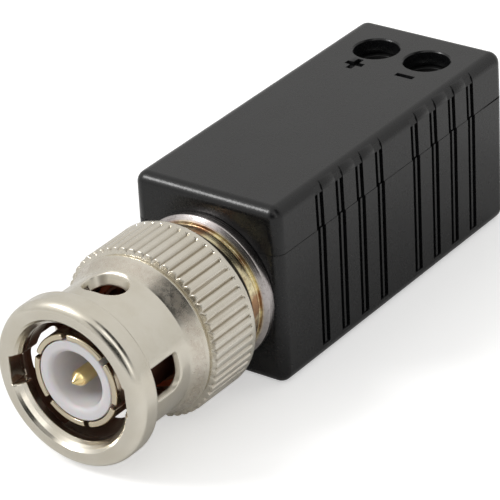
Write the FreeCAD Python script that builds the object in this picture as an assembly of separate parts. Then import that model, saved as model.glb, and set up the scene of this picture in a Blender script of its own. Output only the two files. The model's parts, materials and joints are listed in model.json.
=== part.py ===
"""Passive video balun: a bayonet video plug on one end of a moulded case, a two-pole screw terminal in
the other.

The origin is the centre of the plug's mating plane, the front end of its slotted outer contact. The
plug faces -Y, the case runs to +Y and +Z is up, away from the flat face that the case stands on.
All sizes are millimetres.
"""
import FreeCAD, Part
import math
import os

Vector = FreeCAD.Vector

# Case
plug_reach = 17.4            # mating plane to the front of the case
case_width = 14.2
case_length = 33.5
case_top = 8.3               # above the plug's axis
case_bottom = 7.6            # below the plug's axis
seam_height = 4.25           # parting line above the plug's axis
case_wall = 1.3
front_wall = 1.5
case_edge_radius = 1.0
case_draft = 0.012           # the sides lean in by this much per millimetre from the seam
seam_groove_height = 0.16
seam_groove_depth = 0.14
lap_height = 1.1             # lip of the cover inside the side walls of the base
lap_thickness = 0.6
lap_clearance = 0.05

# Finger grooves on both sides of the case
groove_width = 1.1
groove_depth = 0.45
groove_pitch = 2.84
groove_count = 4
groove_foot = 1.15           # plain height left below the grooves
front_groove_row = 5.8       # first groove of each group, from the case front
rear_groove_row = 19.6

# Screw terminal
pole_pitch = 5.08
pole_row = 28.6              # screw axes behind the case front
access_hole_radius = 2.0
access_hole_bevel = 0.12
block_width = 10.16
block_length = 8.0
block_height = 10.0
block_clearance = 0.1        # between the block and the cover
keeper_radius = 1.6          # hole that keeps the screw head in the block
keeper_depth = 0.7
head_radius = 1.7
head_height = 1.3
head_clearance = 0.2
head_bevel = 0.25
slot_width = 0.6
slot_depth = 0.7
screw_radius = 1.25
thread_clearance = 0.05
thread_pitch = 0.45
cage_travel = 2.2
cage_width = 3.6
cage_length = 3.6
cage_side_wall = 0.5
cage_corner = 0.4
cage_top_wall = 1.2
cage_bottom_wall = 0.6
cage_clearance = 0.1
wire_gap = 2.4               # height left for the wire with the cage down
contact_bar_width = 2.4
contact_bar_thickness = 0.8
contact_tail_width = 1.0
contact_tail_row = 1.5       # behind the front of the block
contact_end_wall = 0.8       # plastic left behind the end of the bar
tail_below_board = 1.2
wire_entry_width = 3.0
entry_funnel = 0.4
case_entry_width = 4.2
case_entry_height = 4.2
case_entry_corner = 0.5

# Circuit board and what it carries
board_thickness = 1.6
board_side_gap = 0.4         # to each side wall
board_front_gap = 6.0        # behind the case front
board_rear_gap = 0.4         # ahead of the rear wall
rail_width = 1.2
core_outer_radius = 4.4
core_inner_radius = 2.3
core_height = 3.4
core_row = 16.4              # behind the case front
winding_turns = 12
winding_wire = 0.45
chip_length = 2.0
chip_width = 1.25
chip_height = 0.55
chip_row = 22.2              # behind the case front
chip_pitch = 4.4
solder_radius = 1.0
solder_height = 0.8
solder_lean = 0.35
lead_width = 0.8
lead_thickness = 0.4
lead_row = 9.4               # hole for the signal lead, behind the case front
lead_bend = 0.8
hole_clearance = 0.05

# Fixed parts of the plug
contact_radius = 4.0
contact_wall = 0.5
contact_slots = 6
contact_slot_width = 0.5
contact_slot_length = 4.8
contact_slot_angle = 41.0    # first slot, from +X towards +Z
contact_edge = 0.12
contact_base_radius = 4.3    # step that the gasket sits round
contact_press_radius = 3.78  # rear end, pressed into the plug body
contact_press_depth = 2.6
insulator_radius = 3.42
insulator_recess = 0.05
insulator_bore_radius = 2.4
insulator_bore_depth = 5.2
insulator_edge = 0.15
insulator_tail_radius = 2.0
insulator_seat = 0.8         # where the contact closes on the insulator, past the bore's floor
pin_radius = 0.675
pin_tip_recess = 0.1
pin_tip_length = 1.5
pin_tip_flat = 0.12
pin_tail_radius = 0.5
pin_tail = 1.0
gasket_front = 8.6           # depth of the space for the socket's barrel
gasket_thickness = 1.4
gasket_radius = 4.85
flange_radius = 5.45
flange_thickness = 1.0
neck_radius = 4.25
stub_radius = 3.5
stub_clearance = 0.05
stub_past_nut = 0.5
collar_length = 2.9
collar_radius = 6.0
collar_rim_radius = 6.45
collar_rim = 0.75
collar_bevel = 0.35
collar_front_chamfer = 0.2
collar_groove_width = 0.45
collar_groove_radius = 5.75
lug_thickness = 0.4
lug_radius = 4.75
lug_width = 2.0
lug_reach = 7.4              # end of the solder tail behind the case front
nut_across_flats = 8.4
nut_thickness = 2.2
nut_chamfer = 0.3

# Spring pack between the plug body and the coupling sleeve
ring_inner_radius = 4.35
ring_outer_radius = 5.4
spring_free_height = 1.2
spring_strip = 0.25
spring_waves = 3
washer_thickness = 0.4
rest_gap = 0.04
keeper_ring_thickness = 0.5
keeper_ring_outer = 5.9
keeper_ring_inner = 4.7
keeper_ring_gap = 50.0       # degrees left open

# Coupling sleeve
sleeve_front = 1.0           # reach ahead of the mating plane
sleeve_turn = 2.5            # entry notch above +X in degrees
sleeve_mouth_radius = 5.7
sleeve_bore_radius = 5.05
mouth_chamfer = 0.75
lip_length = 1.6             # lip with the chamfer, ahead of the cam chamber
cam_chamber_radius = 5.65
cam_chamber_end = 6.4
flange_chamber_radius = 5.55
rim_radius = 7.1
rim_round = 0.9
rim_length = 2.3
rim_rear_chamfer = 0.3
sleeve_radius = 6.2
flare_start = 6.7
flare_end = 8.05
flare_bow = 0.18             # middle of the flare's arc behind the middle of its length
flare_bow_rise = 0.3         # share of the rise reached there
shoulder_radius = 6.8
knurl_radius = 7.38
knurl_front = 8.45
knurl_chamfer = 0.25
knurl_teeth = 54
knurl_groove_width = 0.4
knurl_groove_depth = 0.22
knurl_rear_band = 0.5
sleeve_rear = 13.55
notch_width = 2.45
ramp_start = 1.7             # cam face beside the entry notch
ramp_end = 4.0               # cam face beside the rest hole
ramp_rise_angle = 75.0
ramp_angle = 108.0
stop_angle = 7.0
rest_hole_length = 3.8       # round the sleeve
rest_hole_width = 3.0        # along the sleeve
rest_hole_centre = 4.95
entry_window_width = 2.9
entry_window_start = 1.6
entry_window_end = 5.3
window_corner = 1.2
rest_hole_roundness = 0.96   # corner radius as a share of half the width
join_overlap = 0.15          # so that cams and sleeve share some metal where they join

# Places worked out from the sizes
case_front = plug_reach
case_rear = plug_reach + case_length
floor_z = case_wall - case_bottom
ceiling_z = case_top - case_wall
half_cavity = case_width / 2 - case_wall
half_board = half_cavity - board_side_gap
pole_y = case_front + pole_row
pole_x = pole_pitch / 2
block_top = ceiling_z - block_clearance
block_bottom = block_top - block_height
block_rear = case_rear - case_wall
block_front = block_rear - block_length
tail_y = block_front + contact_tail_row
board_top = block_bottom
board_bottom = board_top - board_thickness
board_front = case_front + board_front_gap
board_rear = block_rear - board_rear_gap
head_top = block_top - keeper_depth - head_clearance
head_bottom = head_top - head_height
cage_top_open = head_bottom - rest_gap - cage_travel
cage_roof = cage_top_open - cage_top_wall
bar_top = cage_roof - cage_clearance
bar_bottom = bar_top - contact_bar_thickness
cage_floor = bar_bottom - wire_gap
cage_bottom = cage_floor - cage_bottom_wall
flange_front = gasket_front + gasket_thickness
contact_rear = flange_front + contact_press_depth
flange_rear = flange_front + flange_thickness
collar_front = case_front - collar_length
wall_inner = case_front + front_wall
nut_front = wall_inner + lug_thickness
stub_rear = nut_front + nut_thickness + stub_past_nut
washer_front = flange_rear + spring_free_height
keeper_ring_front = washer_front + washer_thickness + rest_gap


def at(y, r):
    """Point of a turned outline: place along the plug's axis and radius."""
    return Vector(r, y, 0)


def joined(points):
    """Straight edges from each point to the next."""
    return [Part.makeLine(a, b) for a, b in zip(points, points[1:])]


def turned(outline):
    """Solid of revolution about the plug's axis from (y, r) corners."""
    corners = [at(y, r) for y, r in outline]
    face = Part.Face(Part.makePolygon(corners + corners[:1]))
    return face.revolve(Vector(0, 0, 0), Vector(0, 1, 0), 360)


def turned_edges(edges):
    """Solid of revolution about the plug's axis from joined edges in the XY plane."""
    face = Part.Face(Part.Wire(edges))
    return face.revolve(Vector(0, 0, 0), Vector(0, 1, 0), 360)


def box(x0, x1, y0, y1, z0, z1):
    return Part.makeBox(x1 - x0, y1 - y0, z1 - z0, Vector(x0, y0, z0))


def about_axis(shape, angle):
    """Copy turned about the plug's axis, from +X towards +Z."""
    copy = shape.copy()
    copy.rotate(Vector(0, 0, 0), Vector(0, 1, 0), -angle)
    return copy


def along_y(radius, y0, y1, x=0.0, z=0.0):
    return Part.makeCylinder(radius, y1 - y0, Vector(x, y0, z), Vector(0, 1, 0))


def along_z(radius, z0, z1, x=0.0, y=0.0):
    return Part.makeCylinder(radius, z1 - z0, Vector(x, y, z0), Vector(0, 0, 1))


def rounded_slab(half_width, y0, y1, z0, z1, radius):
    """Upright slab with its four standing edges rounded."""
    slab = box(-half_width, half_width, y0, y1, z0, z1)
    standing = [e for e in slab.Edges if abs(e.Vertexes[0].Z - e.Vertexes[-1].Z) > 1e-6]
    return slab.makeFillet(radius, standing)


def drafted_half(far_z):
    """One half of the case's outer form, from the seam to far_z, with leaning sides and round edges."""
    lean = abs(far_z - seam_height) * case_draft
    half = case_width / 2
    section = [Vector(-half, case_front, seam_height), Vector(half, case_front, seam_height),
               Vector(half - lean, case_front, far_z), Vector(lean - half, case_front, far_z)]
    face = Part.Face(Part.makePolygon(section + section[:1]))
    solid = face.extrude(Vector(0, case_length, 0))
    rounded = [e for e in solid.Edges if any(abs(v.Z - seam_height) > 1e-6 for v in e.Vertexes)]
    return solid.makeFillet(case_edge_radius, rounded)


def seam_groove():
    """Frame-shaped cutter for the shadow line between the two halves."""
    half = case_width / 2
    z0 = seam_height - seam_groove_height / 2
    z1 = seam_height + seam_groove_height / 2
    outside = box(-half - 1, half + 1, case_front - 1, case_rear + 1, z0, z1)
    kept = rounded_slab(half - seam_groove_depth, case_front + seam_groove_depth,
                        case_rear - seam_groove_depth, z0, z1, case_edge_radius)
    return outside.cut(kept)


def finger_grooves():
    """Cutters for the grooves down both sides, their floors parallel to the leaning sides."""
    half = case_width / 2
    floors = [(z, half - groove_depth - abs(z - seam_height) * case_draft)
              for z in (groove_foot - case_bottom, seam_height, case_top + 1)]
    cutters = []
    for first in (front_groove_row, rear_groove_row):
        for number in range(groove_count):
            y0 = case_front + first + number * groove_pitch - groove_width / 2
            for side in (1, -1):
                corners = [Vector(side * x, y0, z) for z, x in floors]
                corners += [Vector(side * (half + 1), y0, z) for z in (case_top + 1, floors[0][0])]
                face = Part.Face(Part.makePolygon(corners + corners[:1]))
                cutters.append(face.extrude(Vector(0, groove_width, 0)))
    return Part.makeCompound(cutters)


def lap_boxes(clearance):
    """Strips along both side walls where the cover's lip lies in the base."""
    outer = half_cavity + lap_thickness + clearance
    front = wall_inner + case_edge_radius
    rear = block_rear - case_edge_radius
    z0 = seam_height - lap_height - clearance
    right = box(half_cavity, outer, front - clearance, rear + clearance, z0, seam_height)
    left = box(-outer, -half_cavity, front - clearance, rear + clearance, z0, seam_height)
    return Part.makeCompound([right, left])


def wire_windows():
    """Openings in the rear wall in front of the terminal's wire entries."""
    centre_z = (cage_floor + bar_bottom) / 2
    cutters = []
    for side in (-1, 1):
        x = side * pole_x
        hole = box(x - case_entry_width / 2, x + case_entry_width / 2, block_rear - 1, case_rear + 1,
                   centre_z - case_entry_height / 2, centre_z + case_entry_height / 2)
        along = [e for e in hole.Edges if abs(e.Vertexes[0].Y - e.Vertexes[-1].Y) > 1e-6]
        cutters.append(hole.makeFillet(case_entry_corner, along))
    return Part.makeCompound(cutters)


def make_base():
    """Lower part of the case: floor, walls, board rails, hole for the plug and wire openings."""
    shell = drafted_half(-case_bottom)
    shell = shell.cut(box(-half_cavity, half_cavity, wall_inner, block_rear, floor_z, seam_height + 1))
    shell = shell.cut(Part.makeCompound([seam_groove(), lap_boxes(lap_clearance)]))
    shell = shell.cut(finger_grooves())
    shell = shell.cut(along_y(stub_radius + stub_clearance, case_front - 1, wall_inner + 1))
    shell = shell.cut(wire_windows())
    for side in (-1, 1):
        x0 = min(side * half_cavity, side * (half_cavity - rail_width))
        rail = box(x0, x0 + rail_width, board_front, block_rear, floor_z, board_bottom)
        shell = shell.fuse(rail)
    return shell.removeSplitter()


def make_cover():
    """Upper part of the case with the two screwdriver holes and the lips that lie in the base."""
    shell = drafted_half(case_top)
    shell = shell.cut(box(-half_cavity, half_cavity, wall_inner, block_rear, seam_height - 1, ceiling_z))
    shell = shell.cut(seam_groove())
    shell = shell.cut(finger_grooves())
    for side in (-1, 1):
        x = side * pole_x
        shell = shell.cut(along_z(access_hole_radius, ceiling_z - 1, case_top + 1, x, pole_y))
        bevel = Part.makeCone(access_hole_radius, access_hole_radius + access_hole_bevel,
                              access_hole_bevel, Vector(x, pole_y, case_top - access_hole_bevel))
        shell = shell.cut(bevel)
    return shell.fuse(lap_boxes(0.0)).removeSplitter()


def make_outer_contact():
    """Slotted spring tube that makes the ground contact inside the mating socket."""
    inner = contact_radius - contact_wall
    seat = insulator_recess + insulator_bore_depth + insulator_seat
    tube = turned([(0, inner + contact_edge), (0, contact_radius - contact_edge),
                   (contact_edge, contact_radius), (gasket_front, contact_radius),
                   (gasket_front, contact_base_radius), (flange_front, contact_base_radius),
                   (flange_front, contact_press_radius), (contact_rear, contact_press_radius),
                   (contact_rear, insulator_radius), (seat, insulator_radius), (seat, inner),
                   (contact_edge, inner)])
    slots = []
    for number in range(contact_slots):
        slot = box(insulator_radius - 1, contact_radius + 1, -1, contact_slot_length,
                   -contact_slot_width / 2, contact_slot_width / 2)
        slots.append(about_axis(slot, contact_slot_angle + number * 360 / contact_slots))
    return tube.cut(Part.makeCompound(slots))


def make_insulator():
    """White insulator: a cup at the mating end and a sleeve round the pin through the body."""
    front = insulator_recess
    floor = front + insulator_bore_depth
    return turned([(front, insulator_bore_radius + insulator_edge),
                   (front, insulator_radius - insulator_edge), (front + insulator_edge, insulator_radius),
                   (contact_rear, insulator_radius), (contact_rear, insulator_tail_radius),
                   (stub_rear, insulator_tail_radius), (stub_rear, pin_radius), (floor, pin_radius),
                   (floor, insulator_bore_radius), (front + insulator_edge, insulator_bore_radius)])


def make_centre_pin():
    """Gold-plated pin with a conical nose and a thinner tail for the signal lead."""
    shoulder = pin_tip_recess + pin_tip_length
    tail = stub_rear + pin_tail
    return turned([(pin_tip_recess, 0), (pin_tip_recess, pin_tip_flat), (shoulder, pin_radius),
                   (stub_rear, pin_radius), (stub_rear, pin_tail_radius), (tail, pin_tail_radius),
                   (tail, 0)])


def make_plug_body():
    """Turned body: seat for the contact, flange that carries the sleeve, neck and threaded stub."""
    return turned([(flange_front, contact_press_radius), (flange_front, flange_radius),
                   (flange_rear, flange_radius), (flange_rear, neck_radius),
                   (collar_front, neck_radius), (collar_front, stub_radius), (stub_rear, stub_radius),
                   (stub_rear, insulator_tail_radius), (contact_rear, insulator_tail_radius),
                   (contact_rear, contact_press_radius)])


def make_gasket():
    return turned([(gasket_front, contact_base_radius), (gasket_front, gasket_radius),
                   (flange_front, gasket_radius), (flange_front, contact_base_radius)])


def make_collar():
    """Grooved collar with a bevelled rim that seats the plug against the case."""
    rim_front = case_front - collar_rim
    bevel_front = rim_front - collar_bevel
    groove_front = bevel_front - collar_groove_width
    edge = collar_front_chamfer
    return turned([(collar_front, stub_radius), (collar_front, collar_radius - edge),
                   (collar_front + edge, collar_radius), (groove_front, collar_radius),
                   (groove_front, collar_groove_radius), (bevel_front, collar_groove_radius),
                   (bevel_front, collar_radius), (rim_front, collar_rim_radius),
                   (case_front, collar_rim_radius), (case_front, stub_radius)])


def make_lug():
    """Ring tag under the nut whose tail is soldered to the underside of the board."""
    ring = along_y(lug_radius, wall_inner, nut_front)
    tail_top = board_bottom
    down = box(-lug_width / 2, lug_width / 2, wall_inner, nut_front, tail_top - lug_thickness, 0)
    back = box(-lug_width / 2, lug_width / 2, wall_inner, case_front + lug_reach,
               tail_top - lug_thickness, tail_top)
    tag = ring.fuse([down, back])
    return tag.cut(along_y(stub_radius + stub_clearance, wall_inner - 1, nut_front + 1)).removeSplitter()


def make_nut():
    """Hexagon nut inside the case, two flats level with the floor."""
    corner = nut_across_flats / 2 / math.cos(math.pi / 6)
    corners = []
    for number in range(6):
        angle = math.radians(60 * number)
        corners.append(Vector(corner * math.cos(angle), nut_front, corner * math.sin(angle)))
    hexagon = Part.Face(Part.makePolygon(corners + corners[:1])).extrude(Vector(0, nut_thickness, 0))
    nut_rear = nut_front + nut_thickness
    chamfered = turned([(nut_front, 0), (nut_front, nut_across_flats / 2),
                        (nut_front + nut_chamfer, corner), (nut_rear - nut_chamfer, corner),
                        (nut_rear, nut_across_flats / 2), (nut_rear, 0)])
    nut = hexagon.common(chamfered)
    return nut.cut(along_y(stub_radius, nut_front - 1, nut_rear + 1))


def make_wave_spring():
    """Wavy ring that pushes the sleeve back: flat steps stand for the waves' crests and troughs."""
    steps = 6 * spring_waves
    swing = spring_free_height - spring_strip
    stations = []
    for number in range(steps):
        angle = 2 * math.pi * number / steps
        y0 = flange_rear + swing * (1 + math.cos(spring_waves * angle)) / 2
        corners = [(ring_inner_radius, y0), (ring_outer_radius, y0),
                   (ring_outer_radius, y0 + spring_strip), (ring_inner_radius, y0 + spring_strip)]
        stations.append([Vector(r * math.cos(angle), y, r * math.sin(angle)) for r, y in corners])
    faces = []
    for number in range(steps):
        here = stations[number]
        there = stations[(number + 1) % steps]
        for corner in range(4):
            after = (corner + 1) % 4
            faces.append(Part.makeRuledSurface(Part.makeLine(here[corner], here[after]),
                                               Part.makeLine(there[corner], there[after])))
    shell = Part.makeShell(faces)
    shell.sewShape()
    return Part.makeSolid(shell)


def make_thrust_washer():
    return turned([(washer_front, ring_inner_radius), (washer_front, ring_outer_radius),
                   (washer_front + washer_thickness, ring_outer_radius),
                   (washer_front + washer_thickness, ring_inner_radius)])


def make_keeper_ring():
    """Open snap ring in the sleeve's inner groove, behind the washer."""
    rear = keeper_ring_front + keeper_ring_thickness
    ring = turned([(keeper_ring_front, keeper_ring_inner), (keeper_ring_front, keeper_ring_outer),
                   (rear, keeper_ring_outer), (rear, keeper_ring_inner)])
    reach = 2 * keeper_ring_outer
    half = math.radians(keeper_ring_gap / 2)
    wedge = [Vector(0, keeper_ring_front - 1, 0),
             Vector(reach * math.sin(-half), keeper_ring_front - 1, -reach * math.cos(half)),
             Vector(reach * math.sin(half), keeper_ring_front - 1, -reach * math.cos(half))]
    gap = Part.Face(Part.makePolygon(wedge + wedge[:1])).extrude(Vector(0, keeper_ring_thickness + 2, 0))
    return ring.cut(gap)


def sleeve_form():
    """Turned form of the sleeve without its knurl, cams and openings."""
    front = -sleeve_front
    rim_rear = front + rim_length
    lip_rear = front + lip_length
    groove_rear = keeper_ring_front + keeper_ring_thickness
    step = flange_front - rest_gap
    arc_mid = math.sqrt(0.5)
    lip_flat = at(front, rim_radius - rim_round)
    lip_mid = at(front + rim_round * (1 - arc_mid), rim_radius - rim_round * (1 - arc_mid))
    lip_end = at(front + rim_round, rim_radius)
    back_start = at(rim_rear - rim_rear_chamfer, rim_radius)
    back_end = at(rim_rear, rim_radius - rim_rear_chamfer)
    foot = at(rim_rear, sleeve_radius)
    flare = at(flare_start, sleeve_radius)
    shoulder = at(flare_end, shoulder_radius)
    rise = shoulder_radius - sleeve_radius
    flare_mid = at((flare_start + flare_end) / 2 + flare_bow, sleeve_radius + rise * flare_bow_rise)
    chain = [at(knurl_front, shoulder_radius), at(knurl_front, knurl_radius - knurl_chamfer),
             at(knurl_front + knurl_chamfer, knurl_radius),
             at(sleeve_rear - knurl_chamfer / 2, knurl_radius),
             at(sleeve_rear, knurl_radius - knurl_chamfer / 2),
             at(sleeve_rear, flange_chamber_radius), at(groove_rear, flange_chamber_radius),
             at(groove_rear, keeper_ring_outer), at(keeper_ring_front, keeper_ring_outer),
             at(keeper_ring_front, flange_chamber_radius), at(step, flange_chamber_radius),
             at(step, sleeve_bore_radius), at(cam_chamber_end, sleeve_bore_radius),
             at(cam_chamber_end, cam_chamber_radius), at(lip_rear, cam_chamber_radius),
             at(lip_rear, sleeve_bore_radius), at(front + mouth_chamfer, sleeve_bore_radius),
             at(front, sleeve_mouth_radius), lip_flat]
    edges = [Part.Arc(lip_flat, lip_mid, lip_end).toShape()]
    edges += joined([lip_end, back_start, back_end, foot, flare])
    edges += [Part.Arc(flare, flare_mid, shoulder).toShape()]
    edges += joined([shoulder] + chain)
    return turned_edges(edges)


def knurl_grooves():
    """Cutters for the straight knurl, open at the front and closed before the rear band."""
    rear = sleeve_rear - knurl_rear_band
    deep = knurl_radius - knurl_groove_depth
    reach = knurl_radius + knurl_groove_depth
    half = knurl_groove_width
    corners = [Vector(deep, knurl_front - 1, 0), Vector(reach, knurl_front - 1, half),
               Vector(reach, knurl_front - 1, -half)]
    groove = Part.Face(Part.makePolygon(corners + corners[:1])).extrude(Vector(0, rear - knurl_front + 1, 0))
    copies = [about_axis(groove, 360 * (number + 0.5) / knurl_teeth) for number in range(knurl_teeth)]
    return Part.makeCompound(copies)


def cam(notch_angle):
    """Ramp that draws the mating lug in, and the stop behind its rest hole."""
    root_y = lip_length - sleeve_front - join_overlap
    root_radius = cam_chamber_radius + join_overlap
    half_notch = math.degrees(math.asin(notch_width / 2 / sleeve_bore_radius))
    stations = []
    steps = 10
    for number in range(steps + 1):
        turn = half_notch + (ramp_angle - half_notch) * number / steps
        rise = min(1.0, (turn - half_notch) / (ramp_rise_angle - half_notch))
        face_y = ramp_start + (ramp_end - ramp_start) * rise
        angle = math.radians(notch_angle - turn)
        corners = [(sleeve_bore_radius, root_y), (root_radius, root_y), (root_radius, face_y),
                   (sleeve_bore_radius, face_y)]
        points = [Vector(r * math.cos(angle), y, r * math.sin(angle)) for r, y in corners]
        stations.append(Part.makePolygon(points + points[:1]))
    ramp = Part.makeLoft(stations, True, True)
    stop_rear = cam_chamber_end + join_overlap
    corners = [at(root_y, sleeve_bore_radius), at(stop_rear, sleeve_bore_radius),
               at(stop_rear, root_radius), at(root_y, root_radius)]
    face = Part.Face(Part.makePolygon(corners + corners[:1]))
    stop = face.revolve(Vector(0, 0, 0), Vector(0, 1, 0), stop_angle)
    return [ramp, about_axis(stop, notch_angle - ramp_angle)]


def sleeve_openings(notch_angle):
    """Entry notch, the window behind it and the rest hole a quarter turn on."""
    lip_rear = lip_length - sleeve_front
    notch = box(sleeve_bore_radius - 1, cam_chamber_radius, -sleeve_front - 1, lip_rear + join_overlap,
                -notch_width / 2, notch_width / 2)
    inner = sleeve_bore_radius - 1
    outer = rim_radius + 1
    window = box(inner, outer, entry_window_start, entry_window_end,
                 -entry_window_width / 2, entry_window_width / 2)
    radial = [e for e in window.Edges if abs(e.Vertexes[0].X - e.Vertexes[-1].X) > 1e-6]
    window = window.makeFillet(window_corner, radial)
    hole = box(inner, outer, rest_hole_centre - rest_hole_width / 2, rest_hole_centre + rest_hole_width / 2,
               -rest_hole_length / 2, rest_hole_length / 2)
    radial = [e for e in hole.Edges if abs(e.Vertexes[0].X - e.Vertexes[-1].X) > 1e-6]
    hole = hole.makeFillet(rest_hole_width / 2 * rest_hole_roundness, radial)
    return [about_axis(notch, notch_angle), about_axis(window, notch_angle),
            about_axis(hole, notch_angle - 90)]


def make_sleeve():
    """Bayonet coupling sleeve with two cams, four side openings and a straight knurl."""
    sleeve = sleeve_form()
    additions = []
    cutters = [knurl_grooves()]
    for notch_angle in (sleeve_turn, sleeve_turn + 180):
        additions += cam(notch_angle)
        cutters += sleeve_openings(notch_angle)
    sleeve = sleeve.fuse(additions)
    for cutter in cutters:
        sleeve = sleeve.cut(cutter)
    return sleeve.removeSplitter()


def make_board():
    """Circuit board with holes for the terminal tails and the signal lead."""
    board = box(-half_board, half_board, board_front, board_rear, board_bottom, board_top)
    holes = [lead_leg(hole_clearance)]
    for side in (-1, 1):
        corner = math.hypot(contact_tail_width, contact_bar_thickness) / 2
        holes.append(along_z(corner + hole_clearance, board_bottom - 1, board_top + 1, side * pole_x,
                             tail_y))
    return board.cut(Part.makeCompound(holes))


def contact_tail(x):
    """Upright leg of one contact, down through the board."""
    half = contact_tail_width / 2
    thick = contact_bar_thickness / 2
    return box(x - half, x + half, tail_y - thick, tail_y + thick, board_bottom - tail_below_board,
               bar_top)


def make_contact(side):
    """Bent contact: the bar over the wire and the leg to the board."""
    x = side * pole_x
    half = contact_bar_width / 2
    bar = box(x - half, x + half, tail_y - contact_bar_thickness / 2, block_rear - contact_end_wall,
              bar_bottom, bar_top)
    return bar.fuse(contact_tail(x)).removeSplitter()


def make_cage(side):
    """Clamp cage round the contact bar, open fore and aft, with the threaded hole in its roof."""
    x = side * pole_x
    half = cage_width / 2
    y0 = pole_y - cage_length / 2
    y1 = pole_y + cage_length / 2
    outside = box(x - half, x + half, y0, y1, cage_bottom, cage_top_open)
    inside = box(x - half + cage_side_wall, x + half - cage_side_wall, y0 - 1, y1 + 1, cage_floor,
                 cage_roof)
    across = [e for e in outside.Edges if abs(e.Vertexes[0].Y - e.Vertexes[-1].Y) > 1e-6]
    outside = outside.makeFillet(cage_corner, across)
    hole = along_z(screw_radius + thread_clearance, cage_roof - 1, cage_top_open + 1, x, pole_y)
    return outside.cut(inside).cut(hole)


def make_screw(side):
    """Slotted clamp screw whose tip bears on the contact bar."""
    x = side * pole_x
    head = along_z(head_radius, head_bottom, head_top, x, pole_y)
    top = [e for e in head.Edges if len(e.Vertexes) == 1 and abs(e.Vertexes[0].Z - head_top) < 1e-6]
    head = head.makeChamfer(head_bevel, top)
    shank = along_z(screw_radius, bar_top + rest_gap, head_bottom, x, pole_y)
    slot = box(x - head_radius - 1, x + head_radius + 1, pole_y - slot_width / 2,
               pole_y + slot_width / 2, head_top - slot_depth, head_top + 1)
    return head.fuse(shank).cut(slot).removeSplitter()


def make_block():
    """Terminal block: pockets for the cages, wire funnels, screw holes and seats for the contacts."""
    block = box(-block_width / 2, block_width / 2, block_front, block_rear, block_bottom, block_top)
    pocket_half = cage_width / 2 + cage_clearance
    pocket_y0 = pole_y - cage_length / 2 - cage_clearance
    pocket_y1 = pole_y + cage_length / 2 + cage_clearance
    chamber_radius = head_radius + cage_clearance
    cutters = []
    for side in (-1, 1):
        x = side * pole_x
        cutters.append(box(x - pocket_half, x + pocket_half, pocket_y0, pocket_y1, block_bottom - 1,
                           head_bottom))
        cutters.append(along_z(chamber_radius, head_bottom - 1, head_top + head_clearance, x, pole_y))
        cutters.append(along_z(keeper_radius, head_top - 1, block_top + 1, x, pole_y))
        half = wire_entry_width / 2
        cutters.append(box(x - half, x + half, pole_y, block_rear + 1, cage_floor, bar_bottom))
        funnel = []
        for y, grow in ((block_rear, entry_funnel), (block_rear - 2 * entry_funnel, 0.0)):
            ring = [Vector(x - half - grow, y, cage_floor - grow),
                    Vector(x + half + grow, y, cage_floor - grow),
                    Vector(x + half + grow, y, bar_bottom + grow),
                    Vector(x - half - grow, y, bar_bottom + grow)]
            funnel.append(Part.makePolygon(ring + ring[:1]))
        cutters.append(Part.makeLoft(funnel, True, True))
        cutters.append(make_contact(side))
    for cutter in cutters:
        block = block.cut(cutter)
    return block


def make_core():
    """Ferrite ring of the balun transformer, its edges bevelled for the wire."""
    z0 = board_top + winding_wire
    core = along_z(core_outer_radius, z0, z0 + core_height, 0, case_front + core_row)
    core = core.cut(along_z(core_inner_radius, z0 - 1, z0 + core_height + 1, 0, case_front + core_row))
    return core.makeChamfer(winding_wire, [e for e in core.Edges if len(e.Vertexes) == 1])


def make_winding():
    """Turns of enamelled wire round the ferrite ring."""
    y = case_front + core_row
    z0 = board_top
    z1 = board_top + core_height + 2 * winding_wire
    r0 = core_inner_radius - winding_wire
    r1 = core_outer_radius + winding_wire
    turn = box(r0, r1, -winding_wire / 2, winding_wire / 2, z0, z1)
    turn = turn.cut(box(core_inner_radius, core_outer_radius, -1, 1, z0 + winding_wire, z1 - winding_wire))
    turns = []
    for number in range(winding_turns):
        copy = turn.copy()
        copy.rotate(Vector(0, 0, 0), Vector(0, 0, 1), 360 * (number + 0.5) / winding_turns)
        copy.translate(Vector(0, y, 0))
        turns.append(copy)
    return Part.makeCompound(turns)


def make_chips():
    """Two matching resistors on the board."""
    y = case_front + chip_row
    chips = []
    for side in (-1, 1):
        x = side * chip_pitch / 2
        chips.append(box(x - chip_length / 2, x + chip_length / 2, y - chip_width / 2,
                         y + chip_width / 2, board_top, board_top + chip_height))
    return Part.makeCompound(chips)


def lead_leg(grow=0.0):
    """Upright end of the signal lead, or the hole for it."""
    y = case_front + lead_row
    return box(-lead_width / 2 - grow, lead_width / 2 + grow, y - lead_thickness / 2 - grow,
               y + lead_thickness / 2 + grow, board_bottom - tail_below_board - grow, lead_thickness / 2)


def make_lead():
    """Tinned strip from the tail of the pin, bent down through the board."""
    y0 = stub_rear + pin_tail
    y1 = case_front + lead_row + lead_thickness / 2
    strip = box(-lead_width / 2, lead_width / 2, y0, y1, -lead_thickness / 2, lead_thickness / 2)
    bent = strip.fuse(lead_leg()).removeSplitter()
    outside = [e for e in bent.Edges if all(abs(v.Y - y1) + abs(v.Z - lead_thickness / 2) < 1e-6
                                            for v in e.Vertexes)]
    inside_y = y1 - lead_thickness
    inside = [e for e in bent.Edges if all(abs(v.Y - inside_y) + abs(v.Z + lead_thickness / 2) < 1e-6
                                           for v in e.Vertexes)]
    bent = bent.makeFillet(lead_thickness + lead_bend, outside)
    return bent.makeFillet(lead_bend, inside)


def make_solder():
    """Solder cones under the board round the two tails and the signal lead."""
    joints = []
    for x, y, leg in ((-pole_x, tail_y, contact_tail(-pole_x)), (pole_x, tail_y, contact_tail(pole_x)),
                      (0.0, case_front + lead_row, lead_leg())):
        cone = Part.makeCone(solder_radius, solder_radius - solder_lean, solder_height,
                             Vector(x, y, board_bottom), Vector(0, 0, -1))
        joints.append(cone.cut(leg))
    return Part.makeCompound(joints)


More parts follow.
